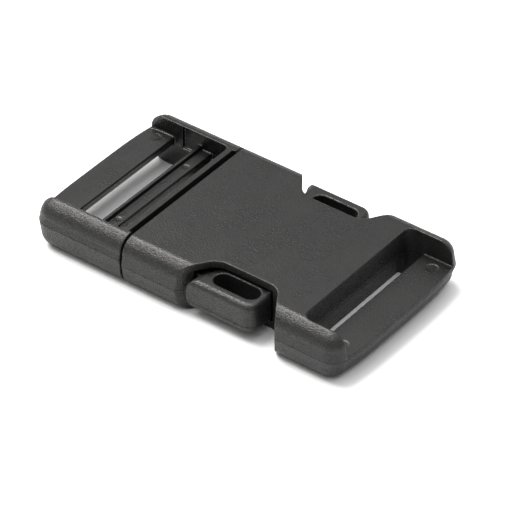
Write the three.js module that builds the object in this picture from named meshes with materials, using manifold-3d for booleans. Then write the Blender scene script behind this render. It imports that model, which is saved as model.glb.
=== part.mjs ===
// A side-release buckle for webbing, closed. The socket is at +X and the plug at -X.
// The plug slides into the socket along +X. Its two springy arms pop out into the socket's side
// cut-outs and hold it. Squeezing the two buttons on the arms frees the plug again.
// Millimetres, +Z up, with the origin under the middle of the closed buckle.

import * as THREE from 'three';
import { mergeVertices } from 'three/addons/utils/BufferGeometryUtils.js';
import Module from 'manifold-3d';

const wasm = await Module();
wasm.setup();

// the whole buckle
const WIDTH = 32.5;
const HEIGHT = 8.46;
const PARTING = 4.4; // height of the mould's parting line
const DRAFT = 0.25; // how much narrower the sides are away from the parting line
const EDGE_ACROSS = 2.85; // the long edges are rounded this far in from the side
const EDGE_DOWN = 2.6; // and this far down from the top
const CLEARANCE = 0.3; // gap between separate pieces that would touch
const END_CORNER = 2.6; // plan radius of the four outer corners
const ARC_STEPS = 7; // facets in a quarter round

// the plug
const PLUG_END = -29.03; // ends of the rails
const OUTER_BAR_PROUD = 0.35; // the outer bar stands out from the rails' ends by this much
const OUTER_BAR_BOW = 0.57; // and bulges this much further at its middle
const RAIL_INNER = 13.23; // half the clear width between the rails
const POCKET_INNER = 13.74;
const POCKET_FROM = -22.48;
const POCKET_TO = -15.18;
const OUTER_BAR_INNER = -24.08;
const OUTER_BAR_TOP = 5.66;
const OUTER_BAR_FALL = 0.4; // its outer half slopes down by this much
const OUTER_BAR_CREST = -27.2;
const OUTER_BAR_UNDERSIDE = 4.3; // at its inner edge
const OUTER_BAR_SAG = 1; // the underside is this much lower at its outer edge
const INNER_BAR_FROM = -19.83;
const INNER_BAR_TO = -17.08;
const INNER_BAR_TOP = 5.2;
const LIP_TOP = 5.95;
const LIP_TO = -18.93;
const CROSS_WALL_FROM = -13.35;
const CROSS_WALL_TO = -12.33;
const SHOULDER = -11.78;
const STEP_HALF_WIDTH = 13.0; // the front of the cross wall is set back between the shoulders
const TONGUE_TIP = 5.72;
const TONGUE_HALF_WIDTH = 4.3;

// the socket
const MOUTH = -11.4;
const SOCKET_END = 29.37;
const CAVITY_HALF_WIDTH = 13.6;
const CAVITY_FLOOR = 1.35;
const CAVITY_ROOF = 7.15;
const CAVITY_END = 17.72;
const CAVITY_END_HALF_WIDTH = 9.6;
const WAIST_INNER = 10.45; // half the width between the two cut-outs
const WAIST_FROM = -1.18;
const WAIST_TO = 17.72;
const WAIST_STRAIGHT_FROM = 3.02;
const WAIST_STRAIGHT_TO = 14.12;
const RECESS_FROM = 21;
const RECESS_HALF_WIDTH = 13.65;
const RECESS_UNDERCUT = 1.1;
const END_BAR_FROM = 23.88;
const END_BAR_TO = 29.05;
const END_BAR_TOP = 4.55;
const END_BAR_BOW = 0.9;

// the latch arms
const ARM_ROOT = CROSS_WALL_TO + CLEARANCE;
const STEM_OUTER = 13.1;
const STEM_INNER = 11.2;
const STEM_SPLAY = 0.5; // the stems lie this much closer together at their roots
const STEM_FLOOR = 2.2;
const STEM_ROOF = 6.4;
const BUTTON_FROM = 0.52;
const BUTTON_TO = 13.02;
const BUTTON_SLANT = 3.05; // its latching face leans back by this much, towards the middle
const BUTTON_OUTER = 15.6;
const BUTTON_INNER = 9.9;
const BUTTON_FLOOR = 1.65;
const BUTTON_ROOF = 6.85;
const BUTTON_EDGE = 0.95;
const WELL_FROM = 3.72; // the oblong well in each button's top
const WELL_TO = 11.92;
const WELL_MIDDLE = 12.3;
const WELL_WIDTH = 3.07;
const WELL_FLOOR = 2.8;

const ALONG_X = new THREE.Matrix4().makeBasis(
  new THREE.Vector3(0, 1, 0),
  new THREE.Vector3(0, 0, 1),
  new THREE.Vector3(1, 0, 0),
);
const ALONG_Y = new THREE.Matrix4().makeBasis(
  new THREE.Vector3(1, 0, 0),
  new THREE.Vector3(0, 0, 1),
  new THREE.Vector3(0, -1, 0),
);

function solid(geometry) {
  const bare = geometry.clone();
  bare.deleteAttribute('normal');
  bare.deleteAttribute('uv');
  const merged = mergeVertices(bare, 1e-4);
  const vertProperties = new Float32Array(merged.attributes.position.array);
  const triVerts = new Uint32Array(merged.index.array);
  return new wasm.Manifold(new wasm.Mesh({ numProp: 3, vertProperties, triVerts }));
}

function sub_part(name, body, material) {
  const { vertProperties, triVerts } = body.getMesh();
  const geometry = new THREE.BufferGeometry();
  geometry.setAttribute('position', new THREE.BufferAttribute(vertProperties, 3));
  geometry.setIndex(new THREE.BufferAttribute(triVerts, 1));
  geometry.computeVertexNormals();
  const mesh = new THREE.Mesh(geometry, material);
  mesh.name = name;
  return mesh;
}

// A closed outline through corners [u, v, radius], each rounded by its own radius.
function outline(corners) {
  const points = [];
  corners.forEach(([u, v, radius = 0], i) => {
    const corner = new THREE.Vector2(u, v);
    const before = new THREE.Vector2(...corners.at(i - 1).slice(0, 2)).sub(corner).normalize();
    const after = new THREE.Vector2(...corners[(i + 1) % corners.length].slice(0, 2));
    after.sub(corner).normalize();
    if (!radius) {
      points.push(corner);
      return;
    }
    const half = Math.acos(THREE.MathUtils.clamp(before.dot(after), -1, 1)) / 2;
    const reach = radius / Math.tan(half);
    const start = corner.clone().addScaledVector(before, reach);
    const end = corner.clone().addScaledVector(after, reach);
    const steps = Math.max(2, Math.round((ARC_STEPS * (Math.PI - 2 * half)) / (Math.PI / 2)));
    const centre = before.clone().add(after).normalize();
    centre.multiplyScalar(radius / Math.sin(half)).add(corner);
    const from = Math.atan2(start.y - centre.y, start.x - centre.x);
    let turn = Math.atan2(end.y - centre.y, end.x - centre.x) - from;
    turn = Math.atan2(Math.sin(turn), Math.cos(turn));
    for (let k = 0; k <= steps; k += 1) {
      const angle = from + (turn * k) / steps;
      points.push(new THREE.Vector2(
        centre.x + radius * Math.cos(angle),
        centre.y + radius * Math.sin(angle),
      ));
    }
  });
  return new THREE.Shape(points);
}

// Extrusions of a shape: upwards from z0 to z1, along X from x0 to x1, or across Y from -y to y.
function upright(shape, z0, z1) {
  const geometry = new THREE.ExtrudeGeometry(shape, { depth: z1 - z0, bevelEnabled: false });
  return solid(geometry.translate(0, 0, z0));
}

function lengthways(shape, x0, x1) {
  const geometry = new THREE.ExtrudeGeometry(shape, { depth: x1 - x0, bevelEnabled: false });
  return solid(geometry.translate(0, 0, x0).applyMatrix4(ALONG_X));
}

function crossways_geometry(shape, halfWidth, steps) {
  const options = { depth: 2 * halfWidth, bevelEnabled: false, steps };
  const geometry = new THREE.ExtrudeGeometry(shape, options);
  return geometry.translate(0, 0, -halfWidth).applyMatrix4(ALONG_Y);
}

function crossways(shape, halfWidth) {
  return solid(crossways_geometry(shape, halfWidth, 1));
}

function block(x0, x1, y0, y1, z0, z1) {
  const box = new THREE.BoxGeometry(x1 - x0, y1 - y0, z1 - z0);
  return solid(box.translate((x0 + x1) / 2, (y0 + y1) / 2, (z0 + z1) / 2));
}

// The buckle's section across its length: flat top and bottom, rounded long edges, and sides
// that lean in slightly above and below the parting line.
function body_section() {
  const flat = WIDTH / 2 - DRAFT - EDGE_ACROSS;
  const quarter = [];
  for (let k = 0; k <= ARC_STEPS; k += 1) {
    const angle = (k / ARC_STEPS) * (Math.PI / 2);
    quarter.push([flat + EDGE_ACROSS * Math.sin(angle), EDGE_DOWN * (1 - Math.cos(angle))]);
  }
  const right = [
    ...quarter,
    [WIDTH / 2, PARTING],
    ...quarter.toReversed().map(([y, z]) => [y, HEIGHT - z]),
  ];
  const left = right.toReversed().map(([y, z]) => [-y, z]);
  return new THREE.Shape([...right, ...left].map(([y, z]) => new THREE.Vector2(y, z)));
}

// An end bar: its section runs across the buckle, and its outer side bulges at the middle.
function bowed_bar(shape, halfWidth, innerX, outerX, bow) {
  const geometry = crossways_geometry(shape, halfWidth, 12);
  const position = geometry.attributes.position;
  for (let i = 0; i < position.count; i += 1) {
    const across = position.getY(i) / halfWidth;
    const outwards = (position.getX(i) - innerX) / (outerX - innerX);
    const shift = bow * (1 - across ** 4) * Math.max(0, outwards);
    position.setX(i, position.getX(i) + Math.sign(outerX) * shift);
  }
  return solid(geometry);
}

// The plug's frame: two rails, the outer bar, the stepped inner bar that grips the webbing,
// the cross wall, and the tongue that guides the plug in the socket.
function plug_frame(material) {
  const plan = outline([
    [PLUG_END, -WIDTH / 2, END_CORNER],
    [SHOULDER, -WIDTH / 2, 0],
    [SHOULDER, WIDTH / 2, 0],
    [PLUG_END, WIDTH / 2, END_CORNER],
  ]);
  const side = outline([
    [PLUG_END, 0, 2.2],
    [SHOULDER, 0, 0.3],
    [SHOULDER, HEIGHT, 0.3],
    [PLUG_END, HEIGHT, 2.2],
  ]);
  const window = outline([
    [PLUG_END - 2, -RAIL_INNER, 0],
    [CROSS_WALL_FROM, -RAIL_INNER, 0.9],
    [CROSS_WALL_FROM, RAIL_INNER, 0.9],
    [PLUG_END - 2, RAIL_INNER, 0],
  ]);
  const pocket = outline([
    [POCKET_FROM, -POCKET_INNER, 0.6],
    [POCKET_TO, -POCKET_INNER, 0.6],
    [POCKET_TO, POCKET_INNER, 0.6],
    [POCKET_FROM, POCKET_INNER, 0.6],
  ]);
  const barEnd = PLUG_END - OUTER_BAR_PROUD;
  const outerBar = outline([
    [OUTER_BAR_INNER, OUTER_BAR_UNDERSIDE, 0.3],
    [OUTER_BAR_INNER, OUTER_BAR_TOP, 0.3],
    [OUTER_BAR_CREST, OUTER_BAR_TOP, 2],
    [barEnd, OUTER_BAR_TOP - OUTER_BAR_FALL, 0.6],
    [barEnd, OUTER_BAR_UNDERSIDE - OUTER_BAR_SAG, 0.8],
  ]);
  const innerBar = outline([
    [INNER_BAR_FROM, 3.4, 0.3],
    [INNER_BAR_FROM + 0.8, 2.0, 0.4],
    [INNER_BAR_TO - 0.8, 2.0, 0.4],
    [INNER_BAR_TO, 3.6, 0.3],
    [INNER_BAR_TO, INNER_BAR_TOP, 0.25],
    [LIP_TO, INNER_BAR_TOP, 0.1],
    [LIP_TO, LIP_TOP, 0.15],
    [INNER_BAR_FROM + 0.3, LIP_TOP, 0.3],
  ]);
  const tongue = outline([
    [CROSS_WALL_TO - 0.5, -TONGUE_HALF_WIDTH, 0],
    [TONGUE_TIP, 0.8 - TONGUE_HALF_WIDTH, 1.6],
    [TONGUE_TIP, TONGUE_HALF_WIDTH - 0.8, 1.6],
    [CROSS_WALL_TO - 0.5, TONGUE_HALF_WIDTH, 0],
  ]);
  const intoRail = RAIL_INNER + 0.7;
  const frame = lengthways(body_section(), PLUG_END - 1, SHOULDER)
    .intersect(upright(plan, -1, HEIGHT + 1))
    .intersect(crossways(side, WIDTH))
    .subtract(upright(window, -1, HEIGHT + 1))
    .subtract(upright(pocket, PARTING - 0.2, HEIGHT - 0.35))
    .subtract(block(CROSS_WALL_TO, SHOULDER + 1, -STEP_HALF_WIDTH, STEP_HALF_WIDTH, -1, HEIGHT + 1))
    .add(bowed_bar(outerBar, intoRail, OUTER_BAR_INNER, barEnd, OUTER_BAR_BOW))
    .add(crossways(innerBar, intoRail + 0.3))
    .add(upright(tongue, CAVITY_FLOOR + 0.4, CAVITY_ROOF - 0.4));
  return sub_part('plug_frame', frame, material);
}

// One springy arm of the plug with its button. side is 1 at +Y and -1 at -Y.
function latch_arm(name, side, material) {
  const mirrored = (corners) => outline(corners.map(([x, y, radius]) => [x, side * y, radius]));
  const stem = mirrored([
    [ARM_ROOT, STEM_INNER - STEM_SPLAY, 0],
    [BUTTON_FROM - 0.5, STEM_INNER, 3],
    [BUTTON_FROM + 3.2, BUTTON_INNER + 0.4, 0],
    [BUTTON_FROM + 3.2, STEM_OUTER, 0],
    [BUTTON_FROM, STEM_OUTER, 0],
    [ARM_ROOT, STEM_OUTER - STEM_SPLAY, 0],
  ]);
  const button = mirrored([
    [BUTTON_FROM + BUTTON_SLANT, BUTTON_INNER, 0.4],
    [BUTTON_TO, BUTTON_INNER, 0.8],
    [BUTTON_TO, BUTTON_OUTER, 1.9],
    [BUTTON_FROM, BUTTON_OUTER, 0.3],
    [BUTTON_FROM, BUTTON_OUTER - 0.9, 0.3],
  ]);
  const well = mirrored([
    [WELL_FROM, WELL_MIDDLE - WELL_WIDTH / 2, WELL_WIDTH / 2 - 0.01],
    [WELL_TO, WELL_MIDDLE - WELL_WIDTH / 2, WELL_WIDTH / 2 - 0.01],
    [WELL_TO, WELL_MIDDLE + WELL_WIDTH / 2, WELL_WIDTH / 2 - 0.01],
    [WELL_FROM, WELL_MIDDLE + WELL_WIDTH / 2, WELL_WIDTH / 2 - 0.01],
  ]);
  const section = outline([
    [side * (BUTTON_INNER - 1), BUTTON_FLOOR, 0],
    [side * BUTTON_OUTER, BUTTON_FLOOR, BUTTON_EDGE],
    [side * BUTTON_OUTER, BUTTON_ROOF, BUTTON_EDGE],
    [side * (BUTTON_INNER - 1), BUTTON_ROOF, 0],
  ]);
  const pad = upright(button, 0, HEIGHT)
    .intersect(lengthways(section, BUTTON_FROM - 1, BUTTON_TO + 1))
    .subtract(upright(well, WELL_FLOOR, HEIGHT));
  return sub_part(name, pad.add(upright(stem, STEM_FLOOR, STEM_ROOF)), material);
}

// The socket: a flat box open at the plug's side, with a cut-out in each long side for a
// button, and a recess with a bar at its other end for the webbing.
function socket_body(material) {
  const half = WIDTH / 2;
  const cutOut = (side) => outline([
    [WAIST_FROM - 1.3, side * (half + 2), 0],
    [WAIST_FROM, side * half, 1.8],
    [WAIST_STRAIGHT_FROM, side * WAIST_INNER, 2.4],
    [WAIST_STRAIGHT_TO, side * WAIST_INNER, 2.4],
    [WAIST_TO, side * half, 1.8],
    [WAIST_TO + 1.3, side * (half + 2), 0],
  ]);
  const plan = outline([
    [MOUTH, -half, 0.4],
    [SOCKET_END, -half, END_CORNER],
    [SOCKET_END, half, END_CORNER],
    [MOUTH, half, 0.4],
  ]);
  const side = outline([
    [MOUTH, 0, 0.35],
    [SOCKET_END, 0, 1.6],
    [SOCKET_END, HEIGHT, 1.6],
    [MOUTH, HEIGHT, 0.35],
  ]);
  const cavity = new THREE.Shape([
    new THREE.Vector2(MOUTH - 1, -CAVITY_HALF_WIDTH),
    new THREE.Vector2(BUTTON_TO, -CAVITY_HALF_WIDTH),
    new THREE.Vector2(BUTTON_TO, -CAVITY_END_HALF_WIDTH),
    new THREE.Vector2(CAVITY_END, -CAVITY_END_HALF_WIDTH),
    new THREE.Vector2(CAVITY_END, CAVITY_END_HALF_WIDTH),
    new THREE.Vector2(BUTTON_TO, CAVITY_END_HALF_WIDTH),
    new THREE.Vector2(BUTTON_TO, CAVITY_HALF_WIDTH),
    new THREE.Vector2(MOUTH - 1, CAVITY_HALF_WIDTH),
  ]);
  const recess = outline([
    [RECESS_FROM, -RECESS_HALF_WIDTH, 1.4],
    [SOCKET_END + 2, -RECESS_HALF_WIDTH, 0],
    [SOCKET_END + 2, RECESS_HALF_WIDTH, 0],
    [RECESS_FROM, RECESS_HALF_WIDTH, 1.4],
  ]);
  const undercut = outline([
    [RECESS_FROM + 0.5, PARTING + 0.3, 0],
    [RECESS_FROM, PARTING + 0.3, 0],
    [RECESS_FROM - RECESS_UNDERCUT, -0.5, 0],
    [RECESS_FROM + 0.5, -0.5, 0],
  ]);
  const endBar = outline([
    [END_BAR_FROM, 0, 0.5],
    [END_BAR_TO, 0, 1.0],
    [END_BAR_TO, END_BAR_TOP, 0.5],
    [END_BAR_FROM, END_BAR_TOP, 0.4],
  ]);
  const body = lengthways(body_section(), MOUTH, SOCKET_END)
    .intersect(upright(plan, -1, HEIGHT + 1))
    .intersect(crossways(side, WIDTH))
    .subtract(upright(cutOut(1), -1, HEIGHT + 1))
    .subtract(upright(cutOut(-1), -1, HEIGHT + 1))
    .subtract(upright(cavity, CAVITY_FLOOR, CAVITY_ROOF))
    .subtract(upright(recess, -1, HEIGHT + 1))
    .subtract(crossways(undercut, RECESS_HALF_WIDTH - 1.4))
    .add(bowed_bar(endBar, RECESS_HALF_WIDTH + 0.5, END_BAR_FROM, END_BAR_TO, END_BAR_BOW));
  return sub_part('socket_body', body, material);
}

function black_plastic() {
  return new THREE.MeshStandardMaterial({ color: 0x1d1d1f, roughness: 0.6, metalness: 0 });
}

const plug = new THREE.Group();
plug.add(plug_frame(black_plastic()));
plug.add(latch_arm('latch_arm_left', 1, black_plastic()));
plug.add(latch_arm('latch_arm_right', -1, black_plastic()));

const buckle = new THREE.Group();
buckle.add(socket_body(black_plastic()));
buckle.add(plug);

export default buckle;
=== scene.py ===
import math

import bmesh
import bpy
from mathutils import Matrix, Vector


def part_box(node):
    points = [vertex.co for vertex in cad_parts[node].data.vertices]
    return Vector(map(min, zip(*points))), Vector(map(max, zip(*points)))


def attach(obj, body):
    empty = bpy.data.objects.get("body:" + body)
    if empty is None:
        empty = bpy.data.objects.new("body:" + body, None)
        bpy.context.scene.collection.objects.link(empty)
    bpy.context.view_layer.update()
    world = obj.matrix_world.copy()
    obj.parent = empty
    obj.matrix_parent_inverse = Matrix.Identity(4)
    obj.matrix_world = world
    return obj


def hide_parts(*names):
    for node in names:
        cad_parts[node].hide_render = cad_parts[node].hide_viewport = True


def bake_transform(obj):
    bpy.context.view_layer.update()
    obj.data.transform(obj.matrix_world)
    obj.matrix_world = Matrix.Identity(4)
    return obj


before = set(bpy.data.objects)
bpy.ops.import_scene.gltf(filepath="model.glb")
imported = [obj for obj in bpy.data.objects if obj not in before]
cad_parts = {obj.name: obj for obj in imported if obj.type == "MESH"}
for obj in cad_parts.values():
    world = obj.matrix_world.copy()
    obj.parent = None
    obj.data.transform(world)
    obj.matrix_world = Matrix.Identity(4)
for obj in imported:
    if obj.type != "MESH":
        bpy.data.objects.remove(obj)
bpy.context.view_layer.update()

# ---------------------------------------------------------------------------------------------
# The camera looks down on the closed buckle from over its near right corner. It stands so far
# off that the buckle's long sides stay almost parallel.
MM = 0.001
VIEW_AZIMUTH = math.radians(37.06)
VIEW_ELEVATION = math.radians(37.89)
VIEW_ROLL = math.radians(0.1)
VIEW_DISTANCE = 597.8 * MM
VIEW_TARGET = Vector((2.99, -1.38, 3.57)) * MM
LENS_LENGTH = 275.2  # in millimetres, as Blender takes it

towards_camera = Vector((
    math.sin(VIEW_AZIMUTH) * math.cos(VIEW_ELEVATION),
    -math.cos(VIEW_AZIMUTH) * math.cos(VIEW_ELEVATION),
    math.sin(VIEW_ELEVATION),
))
camera_data = bpy.data.cameras.new("camera")
camera_data.lens = LENS_LENGTH
camera_data.clip_start = 10 * MM
camera = bpy.data.objects.new("camera", camera_data)
bpy.context.scene.collection.objects.link(camera)
camera.location = VIEW_TARGET + towards_camera * VIEW_DISTANCE
camera.rotation_mode = "QUATERNION"
level = towards_camera.to_track_quat("Z", "Y")
camera.rotation_quaternion = level @ Matrix.Rotation(VIEW_ROLL, 3, "Z").to_quaternion()
bpy.context.scene.camera = camera

# ---------------------------------------------------------------------------------------------
# The socket: the buckle's female half, one hollow black moulding that is open at the plug's
# side. Its two mould halves meet at a parting line round its sides. A cut-out in each long side
# lets a button through, and the recess at its far end holds the bar for the webbing.
socket_low, socket_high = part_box("socket_body")
MOUTH = socket_low.x
HALF_WIDTH = socket_high.y
HEIGHT = socket_high.z
SOCKET_PARTING = 4.1 * MM
SOCKET_BOW = 0.6 * MM  # how far the socket's end bulges at its middle
OUTER_ROUND = 2.65 * MM  # rounding of the long edges and of the outer ends
END_CORNER = 2.75 * MM
LEAN = 0.22 * MM  # how far the sides lean in, above and below the parting line
CUT_PAST = 2 * MM  # cutters reach this far past what they cut
SHARP = math.radians(33)  # an edge that turns more than this is softened
VOXEL = 0.13 * MM  # the grid on which softened pieces are meshed anew
LEVEL = 0.998  # a face counts as level when its normal's upright part is at least this
ROUNDED_BELOW = 0.948  # and as fully rounded when that part is below this


def near(a, b):
    return abs(a - b) < 0.001 * MM


def is_upright(a, b):
    return near(a.x, b.x) and near(a.y, b.y)


def is_level(a, b):
    return near(a.z, b.z)


def is_across(a, b):
    return near(a.x, b.x) and near(a.z, b.z)


def block(name, low, high):
    """A cuboid between two opposite corners, given in millimetres."""
    bpy.ops.object.select_all(action="DESELECT")
    middle = [(a + b) / 2 * MM for a, b in zip(low, high)]
    bpy.ops.mesh.primitive_cube_add(size=MM, location=middle)
    made = bpy.context.object
    made.name = name
    made.scale = [b - a for a, b in zip(low, high)]
    bpy.ops.object.transform_apply(location=True, rotation=True, scale=True)
    return made


def round_rod(name, x, y, low, high, radius):
    """An upright cylinder, with every size in millimetres."""
    bpy.ops.object.select_all(action="DESELECT")
    bpy.ops.mesh.primitive_cylinder_add(
        vertices=40, radius=radius * MM, depth=(high - low) * MM,
        location=(x * MM, y * MM, (low + high) / 2 * MM))
    made = bpy.context.object
    made.name = name
    bpy.ops.object.transform_apply(location=True, rotation=True, scale=True)
    return made


def open_edit(piece, kind):
    """Opens a piece in edit mode, with nothing selected."""
    bpy.ops.object.select_all(action="DESELECT")
    bpy.context.view_layer.objects.active = piece
    piece.select_set(True)
    bpy.ops.object.mode_set(mode="EDIT")
    bpy.ops.mesh.select_mode(type=kind)
    bpy.ops.mesh.select_all(action="DESELECT")
    return bmesh.from_edit_mesh(piece.data)


def close_edit():
    bpy.ops.object.mode_set(mode="OBJECT")


def pick_edges(piece, wanted):
    """Selects the edges for which wanted(one end, other end, turn) holds, and counts them."""
    mesh = open_edit(piece, "EDGE")
    chosen = [
        edge for edge in mesh.edges
        if wanted(edge.verts[0].co, edge.verts[1].co, edge.calc_face_angle(0))
    ]
    for edge in chosen:
        edge.select_set(True)
    bmesh.update_edit_mesh(piece.data)
    return len(chosen)


def round_edges(piece, radius, segments, wanted):
    if pick_edges(piece, wanted):
        bpy.ops.mesh.bevel(offset=radius, segments=segments, profile=0.5, affect="EDGES",
                           clamp_overlap=False)
    close_edit()


def shift_corners(piece, shift, wanted):
    """Moves the vertices for which wanted(place) holds."""
    mesh = open_edit(piece, "VERT")
    for vertex in mesh.verts:
        vertex.select_set(bool(wanted(vertex.co)))
    mesh.select_flush_mode()
    bmesh.update_edit_mesh(piece.data)
    bpy.ops.transform.translate(value=shift)
    close_edit()


def bow_end(piece, reach, amount, end_x):
    """Divides the straight end at end_x and bulges it outwards, most at the middle."""
    rows = 8
    if pick_edges(piece, lambda a, b, turn: is_across(a, b) and abs(a.y - b.y) > reach
                  and near(a.x, end_x)):
        bpy.ops.mesh.subdivide(number_cuts=2 * rows - 1)
    close_edit()
    for row in range(rows):
        across = row / rows
        shift = math.copysign(amount * (1 - across ** 4), end_x)
        shift_corners(
            piece, (shift, 0, 0),
            lambda place: near(abs(place.y), across * reach) and near(place.x, end_x))


def combine(piece, other, operation):
    """Joins another solid to a piece, or cuts it away, and uses the other solid up."""
    bpy.ops.object.select_all(action="DESELECT")
    bpy.context.view_layer.objects.active = piece
    piece.select_set(True)
    step = piece.modifiers.new("step", "BOOLEAN")
    step.operation = operation
    step.solver = "EXACT"
    step.object = other
    bpy.ops.object.modifier_apply(modifier="step")
    bpy.data.objects.remove(other, do_unlink=True)


def cut(piece, cutter):
    combine(piece, cutter, "DIFFERENCE")


def join(piece, other):
    combine(piece, other, "UNION")


def half_shell(name, flat_x, end_x, bow, parting):
    """The outside of one half of the buckle: a plate that is flat at flat_x, where the halves
    meet, rounded along all its outer edges, and widest at its parting line."""
    outwards = math.copysign(1, end_x - flat_x)
    rail_end = end_x - outwards * (bow + LEAN)
    side = HALF_WIDTH - LEAN
    low_x, high_x = sorted((flat_x, rail_end))
    plate = block(
        name, (low_x / MM, -side / MM, 0), (high_x / MM, side / MM, HEIGHT / MM))
    round_edges(
        plate, END_CORNER, 16,
        lambda a, b, turn: is_upright(a, b) and near(a.x, rail_end))
    if bow:
        bow_end(plate, side - END_CORNER, bow, rail_end)
    round_edges(
        plate, OUTER_ROUND, 16,
        lambda a, b, turn: is_level(a, b) and turn > SHARP
        and not (near(a.x, flat_x) and near(b.x, flat_x)))
    open_edit(plate, "FACE")
    bpy.ops.mesh.select_all(action="SELECT")
    bpy.ops.mesh.bisect(plane_co=(0, 0, parting), plane_no=(0, 0, 1))
    length = abs(rail_end - flat_x)
    bpy.ops.transform.resize(
        value=((length + LEAN) / length, HALF_WIDTH / side, 1),
        center_override=(flat_x, 0, parting))
    close_edit()
    return plate


def soften(piece):
    """Takes the sharpness off every edge: the piece is meshed anew on a fine grid, its edges are
    worn round, and flat parts get few faces again."""
    bpy.ops.object.select_all(action="DESELECT")
    bpy.context.view_layer.objects.active = piece
    piece.select_set(True)
    remesh = piece.modifiers.new("remesh", "REMESH")
    remesh.mode = "VOXEL"
    remesh.voxel_size = VOXEL
    wear = piece.modifiers.new("wear", "SMOOTH")
    wear.factor = 0.5
    wear.iterations = 2
    thin = piece.modifiers.new("thin", "DECIMATE")
    thin.ratio = 0.3
    for name in ("remesh", "wear", "thin"):
        bpy.ops.object.modifier_apply(modifier=name)


def score_parting(piece, flat_x, parting, outside):
    """Sinks a fine groove along the parting line, in the faces for which outside(centre, normal)
    holds."""
    half_groove = 0.09 * MM
    depth = 0.12 * MM
    for height in (parting - half_groove, parting, parting + half_groove):
        mesh = open_edit(piece, "FACE")
        for face in mesh.faces:
            face.select_set(bool(outside(face.calc_center_median(), face.normal)))
        bmesh.update_edit_mesh(piece.data)
        bpy.ops.mesh.bisect(plane_co=(0, 0, height), plane_no=(0, 0, 1))
        close_edit()
    mesh = open_edit(piece, "VERT")
    for vertex in mesh.verts:
        chosen = near(vertex.co.z, parting) and any(
            outside(face.calc_center_median(), face.normal) for face in vertex.link_faces)
        vertex.select_set(chosen)
    mesh.select_flush_mode()
    bmesh.update_edit_mesh(piece.data)
    length = 41 * MM  # from flat_x to the socket's end
    bpy.ops.transform.resize(
        value=(1 - depth / length, 1 - depth / HALF_WIDTH, 1),
        center_override=(flat_x, 0, parting))
    close_edit()


def smooth_shade(piece, smooth=lambda place: False):
    """Shades a piece smooth, and marks each face with how rounded it is, from 0 on level faces
    to 1. Where smooth(centre) holds, faces count as level, so that they get no coarse grain."""
    bpy.ops.object.select_all(action="DESELECT")
    bpy.context.view_layer.objects.active = piece
    piece.select_set(True)
    bpy.ops.object.shade_smooth()
    mark = piece.data.attributes.new("rounded", "FLOAT", "FACE")
    for face, value in zip(piece.data.polygons, mark.data):
        tilt = (LEVEL - abs(face.normal.z)) / (LEVEL - ROUNDED_BELOW)
        value.value = 0 if smooth(face.center) else min(1, max(0, tilt))


def side_cut_out(side):
    """The cut-out of one long side: slanted ends, wide inner corners and rounded outer ones."""
    waist = 10.45
    edge = HALF_WIDTH / MM
    ends = {"left": (-1.18, 3.02), "right": (17.72, 14.12)}
    low_y, high_y = sorted((side * waist, side * edge))
    cutter = block(
        "cut_out", (ends["left"][1], low_y, -2), (ends["right"][1], high_y, HEIGHT / MM + 2))
    mesh = open_edit(cutter, "FACE")
    for face in mesh.faces:
        face.select_set(near(face.calc_center_median().y, side * HALF_WIDTH))
    bmesh.update_edit_mesh(cutter.data)
    bpy.ops.mesh.extrude_region_move(TRANSFORM_OT_translate={"value": (0, side * CUT_PAST, 0)})
    close_edit()
    middle = (ends["left"][1] + ends["right"][1]) / 2 * MM
    for outer, inner in ends.values():
        away = math.copysign(1, outer - inner)
        shift_corners(
            cutter, ((outer - inner) * MM, 0, 0),
            lambda place: (place.x - middle) * away > 0 and not near(abs(place.y), waist * MM))
        shift_corners(
            cutter, (1.3 * away * MM, 0, 0),
            lambda place: (place.x - middle) * away > 0
            and near(abs(place.y), HALF_WIDTH + CUT_PAST))
    for distance, radius in ((waist * MM, 1.5 * MM), (HALF_WIDTH, 1.0 * MM)):
        round_edges(
            cutter, radius, 8,
            lambda a, b, turn: is_upright(a, b) and near(abs(a.y), distance))
    return cutter


socket = half_shell("socket_shell", MOUTH, socket_high.x, SOCKET_BOW, SOCKET_PARTING)
# the lower mould half is set back at the socket's end
SET_BACK = 0.25 * MM
open_edit(socket, "FACE")
bpy.ops.mesh.select_all(action="SELECT")
bpy.ops.mesh.bisect(plane_co=(0, 0, SOCKET_PARTING - 0.1 * MM), plane_no=(0, 0, 1))
close_edit()
shift_corners(
    socket, (-SET_BACK, 0, 0),
    lambda place: place.x > 24 * MM and place.z < SOCKET_PARTING - 0.05 * MM)

# the rooms for the latch arms and for the tongue's end, and the cut-outs for the buttons
CAVITY_FLOOR = 1.35
CAVITY_ROOF = 7.15
cut(socket, block("arms_room", (-13, -13.6, CAVITY_FLOOR), (13.02, 13.6, CAVITY_ROOF)))
cut(socket, block("end_room", (12, -9.6, CAVITY_FLOOR), (17.72, 9.6, CAVITY_ROOF)))
cut(socket, side_cut_out(1))
cut(socket, side_cut_out(-1))

# the recess, its webbing slot, and its wall, which leans back from just above the parting line
# down
RECESS_FROM = 21.0
RECESS_HALF = 13.65
END_BAR_FROM = 23.88
END_BAR_TOP = 4.55
recess = block("recess", (RECESS_FROM, -RECESS_HALF, END_BAR_TOP), (34, RECESS_HALF, 11))
round_edges(
    recess, 1.4 * MM, 7,
    lambda a, b, turn: is_upright(a, b) and near(a.x, RECESS_FROM * MM))
cut(socket, recess)
webbing_slot = block("webbing_slot", (RECESS_FROM, -RECESS_HALF, -2), (END_BAR_FROM, RECESS_HALF, 6))
round_edges(
    webbing_slot, 1.4 * MM, 7,
    lambda a, b, turn: is_upright(a, b) and near(a.x, RECESS_FROM * MM))
cut(socket, webbing_slot)
undercut = block("undercut", (20.5, -12.25, -0.5), (22.0, 12.25, 4.7))
shift_corners(undercut, (0.5 * MM, 0, 0), lambda place: place.z > 4 * MM and place.x < 21 * MM)
shift_corners(undercut, (-0.55 * MM, 0, 0), lambda place: place.z < 0 and place.x < 21 * MM)
cut(socket, undercut)
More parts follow.
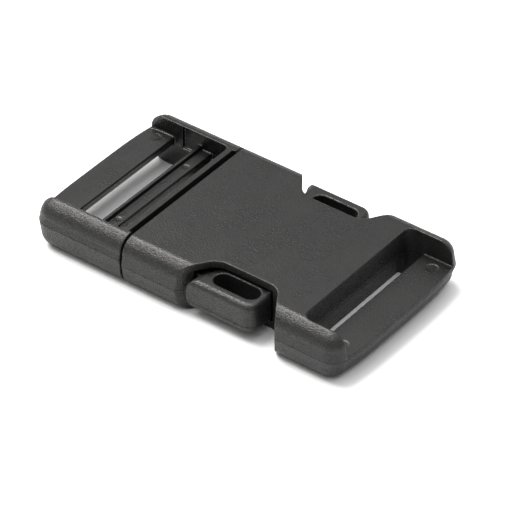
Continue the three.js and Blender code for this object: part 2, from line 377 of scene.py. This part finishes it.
for side in (1, -1):  # the round marks that the mould's ejector pins left
    cut(socket, round_rod("pin_mark", 26.85, side * 11.51, END_BAR_TOP - 0.06, 6, 0.97))
soften(socket)
score_parting(
    socket, MOUTH, SOCKET_PARTING,
    lambda centre, normal: abs(centre.y) > HALF_WIDTH - 1.0 * MM and abs(normal.y) > 0.6
    or centre.x > 27 * MM and normal.x > 0.3)
smooth_shade(socket)


class Wire:
    """A shader value, which Python's operators turn into nodes."""

    def __init__(self, tree, socket):
        self.tree = tree
        self.socket = socket

    def maths(self, operation, *values):
        return add_node(self.tree, "ShaderNodeMath", {"operation": operation}, [self, *values])

    def __add__(self, other):
        return self.maths("ADD", other)

    def __sub__(self, other):
        return self.maths("SUBTRACT", other)

    def __rsub__(self, other):
        return self.maths("MULTIPLY_ADD", -1, other)

    def __mul__(self, other):
        return self.maths("MULTIPLY", other)

    __radd__ = __add__
    __rmul__ = __mul__

    def clamped(self):
        return add_node(self.tree, "ShaderNodeClamp", {}, [self])


def add_node(tree, kind, settings, values, output=0):
    """Adds a node with its settings, feeds its inputs, and returns one of its outputs. values is
    a list in the order of the inputs, or a dictionary by their names."""
    node = tree.nodes.new(kind)
    for name, value in settings.items():
        setattr(node, name, value)
    pairs = values.items() if isinstance(values, dict) else enumerate(values)
    for key, value in pairs:
        if isinstance(value, Wire):
            tree.links.new(value.socket, node.inputs[key])
        else:
            node.inputs[key].default_value = value
    return Wire(tree, node.outputs[output])


def black_plastic(name, parting):
    """Black plastic from a spark-eroded mould: level faces are satin, and the others, by their
    "rounded" mark, have a coarser sparkling grain. Its gloss is faintly cloudy, and a darker line
    shows where the mould halves met, at the height given."""
    material = bpy.data.materials.new(name)
    material.use_nodes = True
    tree = material.node_tree
    shader = tree.nodes["Principled BSDF"]
    place = add_node(tree, "ShaderNodeTexCoord", {}, [], "Object")
    rounded = add_node(tree, "ShaderNodeAttribute", {"attribute_name": "rounded"}, [], "Fac")
    grain = add_node(
        tree, "ShaderNodeTexNoise", {},
        {"Vector": place, "Scale": 4400.0, "Detail": 0.0})
    pits = add_node(
        tree, "ShaderNodeTexVoronoi", {"feature": "F1"}, {"Vector": place, "Scale": 3900.0})
    clouds = add_node(
        tree, "ShaderNodeTexNoise", {},
        {"Vector": place, "Scale": 180.0, "Detail": 3.0, "Roughness": 0.55})
    height = add_node(tree, "ShaderNodeSeparateXYZ", {}, [place], "Z")
    off_line = (height - parting) * (1 / (0.13 * MM))
    line = (1 - off_line * off_line).clamped()
    tone = add_node(
        tree, "ShaderNodeMix", {"data_type": "RGBA"},
        {0: clouds, 6: (0.0034, 0.0034, 0.0036, 1), 7: (0.0060, 0.0059, 0.0056, 1)}, 2)
    shaded = add_node(
        tree, "ShaderNodeMix", {"data_type": "RGBA"},
        {0: line * 0.9, 6: tone, 7: (0.001, 0.001, 0.001, 1)}, 2)
    tree.links.new(shaded.socket, shader.inputs["Base Color"])
    glint = add_node(
        tree, "ShaderNodeMapRange", {"interpolation_type": "SMOOTHSTEP"},
        {"Value": grain, "From Min": 0.45, "From Max": 0.68})
    gloss = 0.24 + clouds * 0.08 + line * 0.3 + rounded * 0.18 + glint * (rounded * 0.14 + 0.05)
    tree.links.new(gloss.socket, shader.inputs["Roughness"])
    relief = (grain * 0.5 + pits * 0.5) * (rounded * 0.6 + 0.4)
    bump = add_node(
        tree, "ShaderNodeBump", {},
        {"Strength": 1.0, "Distance": 0.1 * MM, "Height": relief})
    tree.links.new(bump.socket, shader.inputs["Normal"])
    return material


def give(piece, material):
    piece.data.materials.clear()
    piece.data.materials.append(material)


give(socket, black_plastic("socket_plastic", SOCKET_PARTING))
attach(socket, "socket")
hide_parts("socket_body")

# ---------------------------------------------------------------------------------------------
# The plug's frame: the male half without its arms, one black moulding. Two rails hold the outer
# bar and the stepped inner bar that grips the webbing, a cross wall closes the frame, and a
# tongue keeps the plug straight in the socket.
PLUG_PARTING = 4.85 * MM
SHOULDER = -11.78
RAIL_END = -29.05
RAIL_INNER = 13.23
CROSS_WALL_FROM = -13.35
CROSS_WALL_TO = -12.33
RAIL_LEDGE = 4.1  # below this height the rails' inner faces stand in by LEDGE_DEPTH
LEDGE_DEPTH = 0.15
SMOOTH_HALF = 13.8  # inside the frame, up to this far from the middle, faces have no coarse grain

plug = half_shell("plug_shell", SHOULDER * MM, RAIL_END * MM, 0, PLUG_PARTING)
for inner, low, high in ((RAIL_INNER, RAIL_LEDGE, 11), (RAIL_INNER - LEDGE_DEPTH, -2, 5)):
    window = block("window", (-33, -inner, low), (CROSS_WALL_FROM, inner, high))
    round_edges(
        window, 0.9 * MM, 6,
        lambda a, b, turn: is_upright(a, b) and near(a.x, CROSS_WALL_FROM * MM))
    cut(plug, window)
cut(plug, block("pockets", (-22.48, -13.74, 4.2), (-15.18, 13.74, 8.2)))
cut(plug, block("front_step", (CROSS_WALL_TO, -13, -2), (SHOULDER + 2, 13, 11)))

# the outer bar: its top falls away outwards from a soft crest, and its end bulges
BAR_INNER = -24.08
BAR_END = -29.38
BAR_TOP = 5.66
BAR_CREST = -27.1
BAR_FALL = 0.4
BAR_UNDERSIDE = 4.3
BAR_SAG = 1.0  # the underside is this much lower at the bar's outer side
BAR_HALF = 13.9  # both ends reach into the rails
outer_bar = block(
    "outer_bar", (BAR_END, -BAR_HALF, BAR_UNDERSIDE), (BAR_INNER, BAR_HALF, BAR_TOP))
open_edit(outer_bar, "FACE")
bpy.ops.mesh.select_all(action="SELECT")
bpy.ops.mesh.bisect(plane_co=(BAR_CREST * MM, 0, 0), plane_no=(1, 0, 0))
close_edit()
shift_corners(
    outer_bar, (0, 0, -BAR_FALL * MM),
    lambda place: near(place.x, BAR_END * MM) and place.z > 5 * MM)
shift_corners(
    outer_bar, (0, 0, -BAR_SAG * MM),
    lambda place: near(place.x, BAR_END * MM) and place.z < 5 * MM)
shift_corners(
    outer_bar, (0, 0, -BAR_SAG / 2 * MM),
    lambda place: near(place.x, BAR_CREST * MM) and place.z < 5 * MM)
for low_x, high_x, radius in ((-29.5, -28, 0.55), (-28, -26, 1.2), (-26, -24, 0.25)):
    round_edges(
        outer_bar, radius * MM, 5,
        lambda a, b, turn: is_across(a, b) and a.z > 5 * MM
        and low_x * MM < a.x < high_x * MM and turn > 0.01)
BAR_BOW = 0.57 * MM
if pick_edges(outer_bar, lambda a, b, turn: is_across(a, b)):
    bpy.ops.mesh.subdivide(number_cuts=15)
close_edit()
for vertex in outer_bar.data.vertices:
    outwards = (vertex.co.x / MM - BAR_INNER) / (BAR_END - BAR_INNER)
    across = abs(vertex.co.y) / (BAR_HALF * MM)
    vertex.co.x -= BAR_BOW * (1 - across ** 4) * max(0, outwards)
join(plug, outer_bar)

# the inner bar: a flat with a raised lip along its outer side
inner_bar = block("inner_bar", (-19.83, -14.1, 2.0), (-17.08, 14.1, 5.2))
join(inner_bar, block("lip", (-19.53, -14.1, 4.0), (-18.93, 14.1, 5.95)))
join(plug, inner_bar)

# the tongue, whose tip is narrower and rounded to find its way into the socket
tongue = block("tongue", (-12.83, -4.3, 1.75), (5.72, 4.3, 6.75))
for side in (1, -1):
    shift_corners(
        tongue, (0, -side * 0.8 * MM, 0),
        lambda place: place.x > 5 * MM and place.y * side > 0)
round_edges(tongue, 1.6 * MM, 6, lambda a, b, turn: is_upright(a, b) and a.x > 5 * MM)
join(plug, tongue)
for side in (1, -1):  # pin marks, on the outer bar and on the inner one
    cut(plug, round_rod("pin_mark", -26.54, side * 11.42, 5.6, 7, 0.93))
    cut(plug, round_rod("pin_mark", -18.2, side * 8.45, 5.14, 7, 0.6))
soften(plug)
smooth_shade(
    plug, lambda place: abs(place.y) < SMOOTH_HALF * MM and place.x < CROSS_WALL_FROM * MM)
give(plug, black_plastic("plug_plastic", PLUG_PARTING))
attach(plug, "plug")
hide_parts("plug_frame")

# ---------------------------------------------------------------------------------------------
# The plug's two latch arms, moulded in one with its frame. Each is a thin springy stem with a
# thick button at its end. The button's slanted nose catches in the socket's cut-out, and an
# oblong well cored out of its top gives the fingertip a grip.
ARM_ROOT = CROSS_WALL_TO - 0.1  # the stem starts just inside the cross wall
BUTTON_FROM = 0.52
BUTTON_TO = 13.02
BUTTON_OUTER = 15.6
BUTTON_INNER = 9.9
BUTTON_FLOOR = 1.65
BUTTON_ROOF = 6.85
NOSE_ROUND = 2.0  # seen from the side
NOSE_SLANT = 3.05  # the latching face leans back by this much, towards the middle


def latch_arm(name, side):
    def span(a, b):
        return sorted((side * a, side * b))

    low_y, high_y = span(BUTTON_INNER, BUTTON_OUTER)
    arm = block(name, (BUTTON_FROM, low_y, BUTTON_FLOOR), (BUTTON_TO, high_y, BUTTON_ROOF))
    for y, radius in ((BUTTON_OUTER, 1.9), (BUTTON_INNER, 1.0)):
        round_edges(
            arm, radius * MM, 8,
            lambda a, b, turn: is_upright(a, b) and near(a.x, BUTTON_TO * MM)
            and near(abs(a.y), y * MM))
    shift_corners(
        arm, (NOSE_SLANT * MM, 0, 0),
        lambda place: near(abs(place.y), BUTTON_INNER * MM) and place.x < 2 * MM)
    round_edges(
        arm, 0.93 * MM, 8,
        lambda a, b, turn: turn > SHARP and is_level(a, b)
        and abs(a.y + b.y) > 2.1 * BUTTON_INNER * MM and a.x + b.x > 4.2 * MM)
    low_y, high_y = span(9, 17)
    hair = 0.02  # keeps the profile's faces off the arm's own
    profile = block(
        "profile", (BUTTON_FROM, low_y, BUTTON_FLOOR - hair), (15, high_y, BUTTON_ROOF + hair))
    round_edges(
        profile, NOSE_ROUND * MM, 10,
        lambda a, b, turn: is_across(a, b) and near(a.x, BUTTON_FROM * MM))
    combine(arm, profile, "INTERSECT")
    low_y, high_y = span(12.3 - 1.53, 12.3 + 1.53)
    well = block("well", (3.72, low_y, 2.8), (11.92, high_y, 9))
    round_edges(well, 1.52 * MM, 10, lambda a, b, turn: is_upright(a, b))
    cut(arm, well)
    low_y, high_y = span(11.2, 13.1)
    stem = block("stem", (ARM_ROOT, low_y, 2.2), (BUTTON_FROM + 3.1, high_y, 6.4))
    shift_corners(stem, (0, -side * 0.5 * MM, 0), lambda place: place.x < -10 * MM)
    join(arm, stem)
    soften(arm)
    smooth_shade(arm)
    return arm


arm_plastic = black_plastic("arm_plastic", 2.9 * MM)
for name, side in (("left", 1), ("right", -1)):
    arm = latch_arm(f"arm_{name}_shell", side)
    give(arm, arm_plastic)
    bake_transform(arm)
    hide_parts(f"latch_arm_{name}")

# ---------------------------------------------------------------------------------------------
# The studio: a plain white table, a soft light high up on the left, and a white room that is
# brighter at the back than in front, and brightest overhead.
bpy.ops.object.select_all(action="DESELECT")
bpy.ops.mesh.primitive_plane_add(size=3, location=(0, 0, 0))
floor = bpy.context.object
floor.name = "floor"
table_white = bpy.data.materials.new("table_white")
table_white.use_nodes = True
paint = table_white.node_tree.nodes["Principled BSDF"]
paint.inputs["Base Color"].default_value = (0.9, 0.9, 0.905, 1)
paint.inputs["Roughness"].default_value = 0.7
paint.inputs["Specular IOR Level"].default_value = 0.2
give(floor, table_white)


def soft_light(name, place, aim, size, power, colour):
    data = bpy.data.lights.new(name, "AREA")
    data.shape = "RECTANGLE"
    data.size, data.size_y = size
    data.energy = power
    data.color = colour
    light = bpy.data.objects.new(name, data)
    bpy.context.scene.collection.objects.link(light)
    light.location = place
    light.rotation_mode = "QUATERNION"
    light.rotation_quaternion = (Vector(place) - Vector(aim)).to_track_quat("Z", "Y")


soft_light(
    "overhead", place=(-0.33, 0.02, 0.61), aim=(0, 0, 0), size=(0.5, 0.5), power=8.0,
    colour=(1, 0.98, 0.95))

world = bpy.data.worlds.new("studio")
world.use_nodes = True
sky = world.node_tree
way = add_node(sky, "ShaderNodeTexCoord", {}, [], "Generated")
back = add_node(sky, "ShaderNodeSeparateXYZ", {}, [way], "Y")
up = add_node(sky, "ShaderNodeSeparateXYZ", {}, [way], "Z")
walls = add_node(
    sky, "ShaderNodeMapRange", {},
    {"Value": back, "From Min": -0.1, "From Max": 1.0, "To Min": 0.33, "To Max": 0.64})
ceiling = add_node(
    sky, "ShaderNodeMapRange", {"interpolation_type": "SMOOTHSTEP"},
    {"Value": up, "From Min": 0.66, "From Max": 0.88, "To Min": 0.0, "To Max": 1.6})
glow = walls + ceiling
sky.nodes["Background"].inputs["Color"].default_value = (1, 1, 1, 1)
sky.links.new(glow.socket, sky.nodes["Background"].inputs["Strength"])
bpy.context.scene.world = world
bpy.context.scene.view_settings.view_transform = "Standard"
